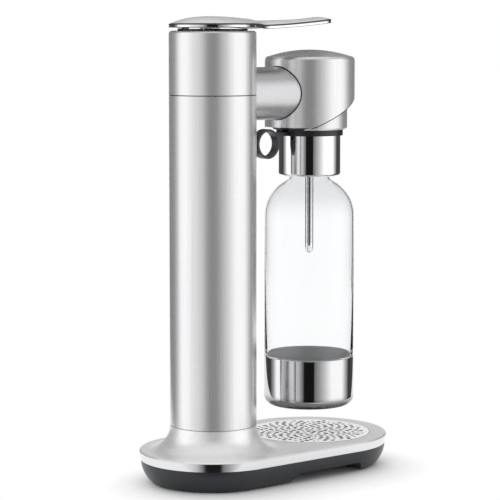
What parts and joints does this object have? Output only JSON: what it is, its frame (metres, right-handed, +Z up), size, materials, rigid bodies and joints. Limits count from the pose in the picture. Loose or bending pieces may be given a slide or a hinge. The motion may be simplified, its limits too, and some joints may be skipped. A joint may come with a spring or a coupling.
{
  "type": "sparkling water maker",
  "caption": "Upright steel carbonating machine: a top lever opens a gas cylinder in the column, and a clear bottle hangs by its cap from a tilting clip over a drip tray",
  "frame": {"origin": "on the table, under the middle of the base", "axes": "Z up, front of the machine (drip tray and bottle) towards -Y, X across"},
  "size_m": [0.146, 0.26, 0.4171],
  "materials": {
    "satin_steel": "brushed along the length",
    "polished_steel": "polished",
    "black_plastic": "fine satin",
    "dark_rubber": "matte",
    "brass": "turned",
    "plain_steel": "plain",
    "aluminium": "plain",
    "clear_plastic": "clear"
  },
  "bodies": {
    "stand": {"base_pan": "black_plastic", "base_cover": "satin_steel", "rubber_feet": "dark_rubber", "base_screws": "plain_steel", "drip_well": "black_plastic", "chassis_tube": "aluminium", "column_tube": "satin_steel", "seam_rings": "dark_rubber", "column_head": "satin_steel", "top_plate": "black_plastic", "hinge_pin": "plain_steel", "plunger_spring": "plain_steel", "valve_block": "brass", "relief_valve": "brass", "socket_seal": "dark_rubber", "gas_pipe": "brass", "arm_tube": "satin_steel", "arm_gasket": "dark_rubber", "head_shell": "satin_steel", "pivot_ring": "black_plastic", "tilt_pins": "plain_steel"},
    "lever": {"lever_paddle": "polished_steel", "lever_bracket": "plain_steel", "bracket_screws": "plain_steel"},
    "plunger": {"plunger": "black_plastic"},
    "cylinder": {"gas_cylinder": "aluminium", "cylinder_valve": "brass"},
    "poppet": {"valve_poppet": "plain_steel"},
    "clip": {"clip_barrel": "satin_steel", "clip_liner": "black_plastic", "gas_nozzle": "brass", "nozzle_seal": "dark_rubber", "clip_pipe": "brass"},
    "cap": {"cap_body": "black_plastic", "cap_skirt": "polished_steel", "cap_seal": "dark_rubber", "neck_gasket": "dark_rubber", "carbonating_wand": "polished_steel", "wand_tip": "polished_steel", "ring_pin": "plain_steel", "vent_spring": "plain_steel"},
    "finger_ring": {"release_ring": "black_plastic"},
    "vent": {"vent_pin": "plain_steel"},
    "bottle": {"bottle": "clear_plastic", "bottle_cup": "polished_steel"},
    "grate": {"drip_grate": "polished_steel"}
  },
  "joints": [
    {"name": "lever_press", "type": "hinge", "parent": "stand", "child": "lever", "pos_m": [0, 0.0845, 0.4028], "axis": [1, 0, 0], "range_deg": [0, 2.5], "stiffness_Nm_per_rad": 6, "springref_deg": -8.59},
    {"name": "plunger_slide", "type": "slide", "parent": "stand", "child": "plunger", "axis": [0, 0, -1], "range_m": [0, 0.00095], "deforming": ["plunger_spring"]},
    {"name": "cylinder_draw", "type": "slide", "parent": "stand", "child": "cylinder", "axis": [0, 0, -1], "range_m": [0, 0.356]},
    {"name": "poppet_slide", "type": "slide", "parent": "cylinder", "child": "poppet", "axis": [0, 0, -1], "range_m": [0, 0.00095]},
    {"name": "clip_tilt", "type": "hinge", "parent": "stand", "child": "clip", "pos_m": [0, -0.057, 0.346], "axis": [-1, 0, 0], "range_deg": [0, 16]},
    {"name": "cap_drop", "type": "slide", "parent": "clip", "child": "cap", "axis": [0, 0, -1], "range_m": [0, 0.0145]},
    {"name": "ring_lift", "type": "hinge", "parent": "cap", "child": "finger_ring", "pos_m": [0, -0.032, 0.3101], "axis": [1, 0, 0], "range_deg": [0, 6], "stiffness_Nm_per_rad": 0.3, "springref_deg": -5.73},
    {"name": "vent_slide", "type": "slide", "parent": "cap", "child": "vent", "axis": [0, 0, -1], "range_m": [0, 0.00116], "deforming": ["vent_spring"]},
    {"name": "bottle_turn", "type": "hinge", "parent": "cap", "child": "bottle", "pos_m": [0, -0.057, 0.2], "axis": [0, 0, -1], "range_deg": [0, 360]},
    {"name": "grate_lift", "type": "slide", "parent": "stand", "child": "grate", "axis": [0, 0, 1], "range_m": [0, 0.008]}
  ],
  "couplings": [
    {"joint": "plunger_slide", "follows": "lever_press", "m_per_rad": 0.0215},
    {"joint": "poppet_slide", "follows": "lever_press", "m_per_rad": 0.0215},
    {"joint": "vent_slide", "follows": "ring_lift", "m_per_rad": 0.011}
  ]
}
